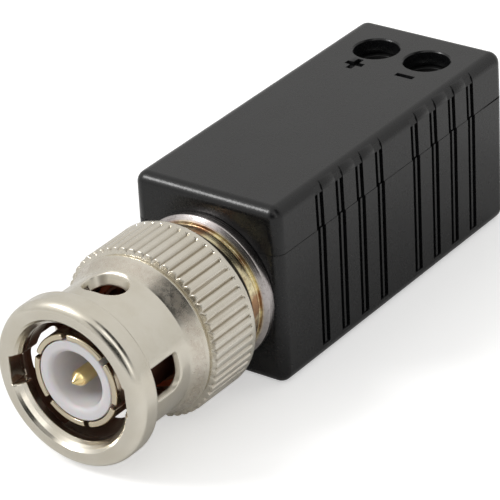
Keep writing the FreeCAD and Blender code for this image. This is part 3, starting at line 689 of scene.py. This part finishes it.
SHELL_OUTLINE = rounded([
    (-0.76, 5.44, 0.06), (SLEEVE_FRONT, 5.68, 0.06), (SLEEVE_FRONT, RIM_RADIUS, 0.9, 20),
    (1.3, RIM_RADIUS, 0.3), (1.3, BARREL_RADIUS, 0.12), (6.5, BARREL_RADIUS, 0.5),
    (8.12, SHOULDER_RADIUS + 0.08, 0.18), (8.27, SHOULDER_RADIUS - 0.12, 0.03),
    (KNURL_FRONT, SHOULDER_RADIUS - 0.12, 0), (KNURL_FRONT, BORE_RADIUS, 0), (CHAMBER_END, BORE_RADIUS, 0.1),
    (CHAMBER_END, CHAMBER_RADIUS, 0.08), (LIP_REAR, CHAMBER_RADIUS, 0.08), (LIP_REAR, BORE_RADIUS, 0.1),
    (-0.1, BORE_RADIUS, 0.2), (-0.42, 5.22, 0.12)], 6)


def sleeve_field(r, angle, y):
    """Front of the sleeve, below zero inside: the turned form with its cams, the thicker walls at the rest
    holes, the notches, the entry windows and the rest holes, two of each.
    """
    body = outline_distance(SHELL_OUTLINE, y, r)
    half_notch = math.degrees(math.asin(NOTCH_WIDTH / 2 / BORE_RADIUS))
    for side in (0, 180):
        turn = np.mod(SLEEVE_TURN + side - np.degrees(angle), 360.0)
        rise = np.clip((turn - half_notch) / (RAMP_RISE_ANGLE - half_notch), 0, 1)
        face = RAMP_START + (RAMP_END - RAMP_START) * rise
        per_degree = math.radians(1) * r
        ring = np.maximum(BORE_RADIUS - r, r - (CHAMBER_RADIUS + 0.2))
        low = LIP_REAR - 0.15
        turn_near = np.where(turn > 300, turn - 360, turn)
        ramp = np.maximum(np.maximum(ring, (half_notch - turn_near) * per_degree),
                          np.maximum((turn - RAMP_ANGLE) * per_degree, np.maximum(low - y, y - face)))
        stop = np.maximum(np.maximum(ring, (RAMP_ANGLE - 1 - turn) * per_degree),
                          np.maximum((turn - RAMP_ANGLE - STOP_ANGLE) * per_degree,
                                     np.maximum(low - y, y - CHAMBER_END - 0.15)))
        body = soft_min(body, soft_min(ramp, stop, 0.05), 0.12)
    for side in (0, 180):
        rest = math.radians(SLEEVE_TURN + side) - math.pi / 2
        along_arc = (np.mod(angle - rest + math.pi, FULL_TURN) - math.pi) * r
        backing = np.maximum(np.maximum(5.2 - r, r - (CHAMBER_RADIUS + 0.2)),
                             np.maximum(np.abs(along_arc) - 3.5, np.maximum(4.9 - y, y - CHAMBER_END - 0.15)))
        body = soft_min(body, backing, 0.1)
    for side in (0, 180):
        centre = math.radians(SLEEVE_TURN + side)
        across, out = r * np.sin(angle - centre), r * np.cos(angle - centre)
        notch = np.maximum(np.maximum(np.abs(across) - NOTCH_WIDTH / 2, y - LIP_REAR - 0.12),
                           np.maximum(out - CHAMBER_RADIUS, -out))
        body = soft_max(body, -notch, 0.14)
        draft = np.clip((BARREL_RADIUS - r) * OPENING_DRAFT, 0, OPENING_DRAFT)
        corner = np.where(across > 0, *WINDOW_CORNERS)
        window = np.maximum(slab(across, y - WINDOW_MIDDLE, WINDOW_HALF_WIDTH - draft,
                                 WINDOW_HALF_LENGTH - draft, corner - draft * 0.5), -out)
        body = soft_max(body, -window, OPENING_ROUNDING)
        centre -= math.pi / 2
        across, out = r * np.sin(angle - centre), r * np.cos(angle - centre)
        hole = np.maximum(slab(across, y - HOLE_MIDDLE, HOLE_HALF_WIDTH - draft,
                               HOLE_HALF_LENGTH - draft, HOLE_CORNER - draft), -out)
        body = soft_max(body, -hole, OPENING_ROUNDING)
    return body


def make_shell():
    """Front of the coupling sleeve, its mesh finer at the lips than along the barrel."""
    stations = np.concatenate([np.arange(-1.12, 1.6, 0.085), np.arange(1.6, 6.3, 0.125),
                               np.arange(6.3, 7.9, 0.11), np.arange(7.9, KNURL_FRONT + 0.1, 0.045)])
    radii = np.concatenate([np.arange(4.9, 6.55, 0.1), np.arange(6.6, 6.98, 0.045),
                            np.arange(7.0, 7.35, 0.1)])
    vertices, faces, normals = field_mesh(sleeve_field, radii, stations, 300)
    add_piece("coupling_sleeve_shell", vertices, faces, "coupling", NICKEL,
              ["coupling_sleeve"], normals)


def make_knurl():
    """Knurled rear of the sleeve: softly crowned teeth between V grooves with run-out ends."""
    front, rear = KNURL_FRONT, SLEEVE_REAR
    top = KNURL_RADIUS
    ring_front, ring_rear, ring_radius = RING_GROOVE
    outer = rounded([
        (front, BORE_RADIUS, 0), (front, SHOULDER_RADIUS - 0.2, 0), (front - 0.12, SHOULDER_RADIUS - 0.14, 0),
        (front - 0.04, top - 0.34, 0), (front + 0.03, top - 0.02, 0.14), (rear, top, 0.16),
        (rear, REAR_CHAMBER_RADIUS, 0.1), (ring_rear, REAR_CHAMBER_RADIUS, 0.05), (ring_rear, ring_radius, 0),
        (ring_front, ring_radius, 0), (ring_front, REAR_CHAMBER_RADIUS, 0.05),
        (REAR_CHAMBER_FRONT, REAR_CHAMBER_RADIUS, 0), (REAR_CHAMBER_FRONT, BORE_RADIUS, 0.05)], 5)
    start = max(number for number, (y, r) in enumerate(outer) if y < front + 0.4 and r > top - 0.1)
    extra = [(y, top - 0.02 + 0.02 * (y - front) / (rear - front))
             for y in (9.0, 9.8, 10.8, 11.8, 12.5, 12.8, 12.9, 12.95, 13.0, 13.04, 13.08, 13.12, 13.2)]
    outline = outer[:start + 1] + extra + outer[start + 1:]
    # Points from one groove's middle to the next one's, closer together in the groove
    shares = (0.0, 0.04, 0.08, 0.12, 0.17, 0.23, 0.29, 0.39, 0.5, 0.61, 0.71, 0.77, 0.83, 0.88, 0.92, 0.96)
    pitch = FULL_TURN / KNURL_TEETH
    angles = [(tooth + 0.5 + share) * pitch for tooth in range(KNURL_TEETH) for share in shares]
    jitter = np.random.default_rng(7).uniform(-1, 1, KNURL_TEETH + 1)

    def shift(y, r, at):
        """How far the teeth's surface lies from the outline, each groove a little different."""
        if r < top - 0.3 or y > 13.3:
            return np.zeros(len(at))
        tooth = np.floor(at / pitch - 0.5).astype(int) % KNURL_TEETH
        off = np.abs(np.mod(at / pitch, 1.0) - 0.5)
        distance = off * pitch * r
        depth = TOOTH_DEPTH + 0.02 * jitter[tooth]
        runout = 1 - np.clip((y - (KNURL_BAND_FRONT - 0.1 + 0.05 * jitter[tooth])) / 0.1, 0, 1) ** 2
        groove = depth * np.maximum(0, 1 - distance / TOOTH_HALF_GROOVE) ** 1.3 * runout
        half = pitch * r / 2
        crown = TOOTH_CROWN * ((half - distance) / half) ** 2 * runout
        return -(groove + crown)

    vertices, faces = lathe(outline, angles, shift)
    add_piece("coupling_sleeve_knurl", vertices, faces, "coupling", NICKEL_KNURL,
              ["coupling_sleeve"], None, 40.0)


# ---------------------------------------------------------------- fixed plug parts

CONTACT_OUTLINE = rounded([
    (0.0, 3.5, 0.12), (0.0, 4.0, 0.2), (8.6, 4.0, 0), (8.6, 4.3, 0.08), (10.0, 4.3, 0),
    (10.0, 3.78, 0), (12.6, 3.78, 0.1), (12.6, 3.42, 0), (6.05, 3.42, 0), (6.05, 3.5, 0)], 5)


def contact_field(r, angle, y):
    """Spring tube with six slots, their edges broken."""
    body = outline_distance(CONTACT_OUTLINE, y, r)
    for number in range(6):
        centre = math.radians(41.0 + 60 * number)
        across, out = r * np.sin(angle - centre), r * np.cos(angle - centre)
        slot = np.maximum(slab(across, y - 0.9, 0.25, 3.9, 0.2), -out)
        body = soft_max(body, -slot, 0.1)
    return body


def make_plug_parts():
    """Slotted contact, insulator, pin, gasket, turned body and collar."""
    stations = np.concatenate([np.arange(-0.08, 0.6, 0.05), np.arange(0.62, 4.4, 0.3),
                               np.arange(4.4, 5.1, 0.06), np.arange(5.2, 8.4, 0.4),
                               np.arange(8.45, 12.8, 0.09)])
    vertices, faces, normals = field_mesh(contact_field, np.arange(3.34, 4.45, 0.07), stations, 264)
    add_piece("slotted_contact", vertices, faces, "case", CONTACT_METAL, ["outer_contact"],
              normals)

    fine = even_turns(160)
    cup = rounded([(0.05, 3.42, 0.12), (12.6, 3.42, 0), (12.6, 2.0, 0), (22.0, 2.0, 0), (22.0, 0.675, 0),
                   (5.25, 0.675, 0), (5.25, 2.4, 0.5), (0.05, 2.4, 0.45)], 8)
    vertices, faces = lathe(cup, fine)
    add_piece("insulator_cup", vertices, faces, "case", WHITE, ["insulator"])

    needle = [(-0.3, 0.02), (-0.29, 0.06), (-0.25, 0.1), (0.0, 0.31), (0.3, 0.54), (0.42, 0.62), (0.5, 0.655),
              (0.6, 0.672), (0.75, 0.675), (22.0, 0.675), (22.0, 0.5), (22.95, 0.5), (23.0, 0.45)]
    vertices, faces = lathe(needle, even_turns(72), on_axis=True)
    add_piece("gold_pin", vertices, faces, "case", GOLD, ["centre_pin"])

    ring = rounded([(8.6, 4.3, 0.1), (10.0, 4.3, 0.1), (10.0, 4.85, 0.25), (8.6, 4.85, 0.25)], 5)
    vertices, faces = lathe(ring, fine)
    add_piece("silicone_gasket", vertices, faces, "case", RUBBER, ["gasket"])

    body = rounded([(10.0, 3.78, 0), (10.0, 5.45, 0.12), (11.0, 5.45, 0.12), (11.0, 4.25, 0.06),
                    (14.5, 4.25, 0), (14.5, 3.5, 0), (22.0, 3.5, 0.25), (22.0, 2.0, 0), (12.6, 2.0, 0),
                    (12.6, 3.78, 0)], 4)
    vertices, faces = lathe(body, fine)
    add_piece("turned_body", vertices, faces, "case", NICKEL_BRIGHT, ["plug_body"])

    collar = rounded([(14.5, 3.5, 0), (14.5, 6.0, 0.2), (15.85, 6.0, 0.1), (15.95, 5.75, 0.12),
                      (16.25, 5.75, 0.1), (16.32, 6.0, 0.1), (16.65, 6.45, 0.18), (17.4, 6.45, 0.12),
                      (17.4, 3.5, 0)], 5)
    vertices, faces = lathe(collar, even_turns(200))
    add_piece("seating_collar", vertices, faces, "case", COLLAR, ["mounting_collar"])


make_shell()
make_knurl()
make_plug_parts()


# ---------------------------------------------------------------- case and terminal

def mark_cutter(name, centre, points):
    """Cutter for one polarity mark on the cover, from its outline round the centre."""
    vertices = []
    for z in (CASE_TOP - MARK_DEPTH, CASE_TOP + 1.0):
        vertices += [((centre[0] + u) * MM, (centre[1] + v) * MM, z * MM) for u, v in points]
    total = len(points)
    faces = [tuple(reversed(range(total))), tuple(range(total, 2 * total))]
    faces += [(n, (n + 1) % total, (n + 1) % total + total, n + total) for n in range(total)]
    mesh = bpy.data.meshes.new(name)
    mesh.from_pydata(vertices, [], faces)
    cutter = bpy.data.objects.new(name, mesh)
    bpy.context.scene.collection.objects.link(cutter)
    return cutter


def cross(reach_u, reach_v, half):
    """Outline of a plus sign."""
    return [(half, half), (half, reach_v), (-half, reach_v), (-half, half),
            (-reach_u, half), (-reach_u, -half), (-half, -half), (-half, -reach_v),
            (half, -reach_v), (half, -half), (reach_u, -half), (reach_u, half)]


def groove_ribs(low, high, slip=0.0, run_out=False):
    """Low ribs along the finger grooves and flat run-outs at their upper ends, each as eight corners."""
    boxes = []
    for first in GROOVE_ROWS:
        for number in range(GROOVE_COUNT):
            middle = CASE_FRONT + first + number * GROOVE_PITCH + slip
            rib_face = CASE_HALF_WIDTH - 0.1
            shapes = [(middle + 0.07, RIB_HALF_WIDTH, (low, rib_face), (high, rib_face))]
            if run_out:
                step = (CASE_TOP - 0.4, CASE_HALF_WIDTH - 0.25)
                shapes.append((middle, RUN_OUT_HALF_WIDTH, (high, CASE_HALF_WIDTH - 0.04), step))
                shapes.append((middle, RUN_OUT_HALF_WIDTH, step, (CASE_TOP - 0.15, GROOVE_FLOOR - 0.02)))
            for centre, half, low_end, high_end in shapes:
                for side in (-1, 1):
                    corners = []
                    for z, outer in (low_end, high_end):
                        lean = abs(z - SEAM) * CASE_DRAFT
                        for x in (GROOVE_FLOOR - 0.2 - lean, outer - lean):
                            corners += [(side * x, centre - half, z), (side * x, centre + half, z)]
                    boxes.append(corners)
    return boxes


bar = [(0.88, -0.27), (0.88, 0.27), (-0.88, 0.27), (-0.88, -0.27)]
cutters = [mark_cutter("cut_minus", (MINUS_X, MARK_Y), bar),
           mark_cutter("cut_plus", (PLUS_X, MARK_Y), cross(0.86, 0.98, 0.29))]
from_node("housing_cover", "case_cover", ABS, EDGE_BEVEL, cutters=cutters, seam=SEAM,
          ribs=groove_ribs(SEAM + 0.09, CASE_TOP - CASE_EDGE_RADIUS, run_out=True))
for cutter in cutters:
    bpy.data.objects.remove(cutter)
from_node("housing_base", "case_base", ABS, EDGE_BEVEL, seam=SEAM, slip=GROOVE_SLIP,
          ribs=groove_ribs(CASE_BOTTOM + GROOVE_FOOT - 0.1, SEAM - 0.09, GROOVE_SLIP))
from_node("terminal_block", "terminal_housing", BLOCK, SMALL_BEVEL)
for pole in ("plus", "minus"):
    from_node("clamp_screw_" + pole, "terminal_screw_" + pole, ZINC, SMALL_BEVEL)
    from_node("clamp_cage_" + pole, "terminal_cage_" + pole, TIN, SMALL_BEVEL)
    from_node("contact_" + pole, "terminal_contact_" + pole, TIN, 0.06)
from_node("ground_lug", "ground_tag", TIN, SMALL_BEVEL)
from_node("lock_nut", "hexagon_nut", NICKEL_BRIGHT, SMALL_BEVEL)
from_node("signal_lead", "signal_strip", TIN, SMALL_BEVEL)

for node, material in (("wave_spring", STEEL), ("thrust_washer", STEEL), ("keeper_ring", STEEL),
                       ("circuit_board", LAMINATE), ("toroid_core", FERRITE), ("toroid_winding", COPPER),
                       ("matching_resistors", CHIP), ("solder_joints", SOLDER)):
    shown = frame["nodes"][node]
    shown.data.materials.clear()
    shown.data.materials.append(material)


# ---------------------------------------------------------------- floor, light and camera

# The floor's added glow, as the camera sees it and as metal mirrors it
GLOW_SEEN = 0.48
GLOW_REFLECTED = 0.05


def make_floor():
    """Plain pale floor just under the case; it keeps the object's shadow."""
    half = 1.5
    height = (CASE_BOTTOM - 0.02) * MM
    mesh = bpy.data.meshes.new("floor")
    corners = ((-half, -half), (half, -half), (half, half), (-half, half))
    mesh.from_pydata([(x, y, height) for x, y in corners], [], [(0, 1, 2, 3)])
    floor = bpy.data.objects.new("floor", mesh)
    bpy.context.scene.collection.objects.link(floor)
    material = bpy.data.materials.new("pale_floor")
    material.use_nodes = True
    tree = material.node_tree
    tree.nodes.clear()
    rays = add(tree, "ShaderNodeLightPath").outputs
    seen = calc(tree, "MAXIMUM", rays["Is Camera Ray"],
                calc(tree, "MAXIMUM", rays["Is Glossy Ray"], rays["Is Transmission Ray"]))
    place = millimetres(tree)
    tone = noise(tree, place, 0.02, 2.0)
    colour = blend(tree, remap(tree, tone, 0.3, 0.7, 0.0, 1.0), (0.79, 0.79, 0.79, 1),
                   (0.81, 0.81, 0.81, 1))
    matte = add(tree, "ShaderNodeBsdfDiffuse", Color=colour, Roughness=0.5)
    part = calc(tree, "ADD", product(tree, seen, GLOW_REFLECTED),
                product(tree, rays["Is Camera Ray"], GLOW_SEEN - GLOW_REFLECTED))
    glow = add(tree, "ShaderNodeEmission", Color=(1, 1, 1, 1), Strength=part)
    both = add(tree, "ShaderNodeAddShader", i0=matte.outputs[0], i1=glow.outputs[0])
    add(tree, "ShaderNodeOutputMaterial", Surface=both.outputs[0])
    mesh.materials.append(material)


# Azimuth from the plug's front toward +X, elevation, inner and outer angle in degrees, and strength
BRIGHT_PANELS = ((-50, 44, 12, 34, 0.45), (65, 16, 4, 9, 0.9), (62, 27, 4, 8, 0.6), (57, 37, 4, 8, 0.7),
                 (51, 46, 4, 8, 0.7), (42, 56, 4, 9, 0.9))
DARK_PANELS = ((35, 10, 7, 12, 0.9), (27, 20, 11, 17, 0.96), (36, 28, 8, 13, 0.93), (12, 16, 10, 18, 0.9),
               (9, 29, 8, 14, 0.93), (-1, 40, 6, 12, 0.8), (91, 30, 8, 15, 0.65), (91, 44, 12, 17, 0.96),
               (92, 58, 11, 17, 0.93), (96, 72, 8, 14, 0.8))


def make_world():
    """Pale studio with the dark places and bright panels that the photograph's metal mirrors."""
    world = bpy.data.worlds.new("studio")
    bpy.context.scene.world = world
    world.use_nodes = True
    tree = world.node_tree
    tree.nodes.clear()
    way = add(tree, "ShaderNodeVectorMath", {"operation": "NORMALIZE"},
              i0=add(tree, "ShaderNodeTexCoord").outputs["Generated"]).outputs[0]
    height = add(tree, "ShaderNodeSeparateXYZ", Vector=way).outputs["Z"]
    level = remap(tree, height, -0.2, 0.9, 0.64, 0.80)

    def facing(azimuth, elevation, inner, outer):
        """One inside the cone of inner degrees round a direction, falling to zero at outer degrees."""
        turn, rise = math.radians(azimuth), math.radians(elevation)
        unit = (math.sin(turn) * math.cos(rise), -math.cos(turn) * math.cos(rise), math.sin(rise))
        dot = add(tree, "ShaderNodeVectorMath", {"operation": "DOT_PRODUCT"}, i0=way,
                  i1=unit).outputs["Value"]
        node = add(tree, "ShaderNodeMapRange", {"interpolation_type": "SMOOTHSTEP"}, Value=dot,
                   From_Min=math.cos(math.radians(outer)), From_Max=math.cos(math.radians(inner)))
        return node.outputs["Result"]

    for azimuth, elevation, inner, outer, gain in BRIGHT_PANELS:
        level = calc(tree, "ADD", level, product(tree, facing(azimuth, elevation, inner, outer), gain))
    for azimuth, elevation, inner, outer, loss in DARK_PANELS:
        cover = product(tree, facing(azimuth, elevation, inner, outer), loss)
        level = product(tree, level, calc(tree, "SUBTRACT", 1.0, cover))
    rays = add(tree, "ShaderNodeLightPath").outputs
    surround = add(tree, "ShaderNodeBackground", Color=(1.0, 0.99, 0.97, 1), Strength=level)
    plain = add(tree, "ShaderNodeBackground", Color=(1, 1, 1, 1), Strength=1.0)
    mixed = add(tree, "ShaderNodeMixShader", Fac=rays["Is Camera Ray"])
    tree.links.new(surround.outputs[0], mixed.inputs[1])
    tree.links.new(plain.outputs[0], mixed.inputs[2])
    add(tree, "ShaderNodeOutputWorld", Surface=mixed.outputs[0])


def add_softbox(name, direction, distance, width, height, power):
    """Area lamp at a distance from the object's middle, facing it."""
    light = bpy.data.lights.new(name, "AREA")
    light.shape = "RECTANGLE"
    light.size, light.size_y = width, height
    light.energy = power
    lamp = bpy.data.objects.new(name, light)
    bpy.context.scene.collection.objects.link(lamp)
    unit = Vector(direction).normalized()
    lamp.location = Vector((0, 0.02, 0)) + unit * distance
    lamp.rotation_mode = "QUATERNION"
    lamp.rotation_quaternion = unit.to_track_quat("Z", "Y")


# The photograph's camera, found from the object's edges: angles in degrees, place in metres
CAMERA_ANGLES = (37.34, 28.65, 3.76)
CAMERA_PLACE = (0.13735, -0.1570, 0.1241)
FOCAL_PIXELS, PICTURE_PIXELS = 3180.5, 500
SENSOR_WIDTH = 36.0


def make_camera():
    """Camera at the photograph's place, with its azimuth, elevation, roll and focal length."""
    azimuth, elevation, roll = (math.radians(v) for v in CAMERA_ANGLES)
    back = Vector((math.sin(azimuth) * math.cos(elevation), -math.cos(azimuth) * math.cos(elevation),
                   math.sin(elevation)))
    forward = -back
    right = forward.cross(Vector((0, 0, 1))).normalized()
    down = forward.cross(right)
    turned_right = right * math.cos(roll) + down * math.sin(roll)
    turned_down = down * math.cos(roll) - right * math.sin(roll)
    data = bpy.data.cameras.new("camera")
    data.sensor_width = SENSOR_WIDTH
    data.lens = FOCAL_PIXELS / PICTURE_PIXELS * SENSOR_WIDTH
    data.clip_start, data.clip_end = 0.01, 10.0
    camera = bpy.data.objects.new("camera", data)
    bpy.context.scene.collection.objects.link(camera)
    camera.rotation_mode = "QUATERNION"
    axes = Matrix((turned_right, -turned_down, back)).transposed()
    camera.rotation_quaternion = axes.to_quaternion()
    camera.location = CAMERA_PLACE
    bpy.context.scene.camera = camera


make_floor()
make_world()
add_softbox("key", direction=(-0.53, -0.48, 0.70), distance=0.6, width=0.15, height=0.15, power=1.15)
make_camera()
bpy.context.scene.view_settings.view_transform = "Standard"
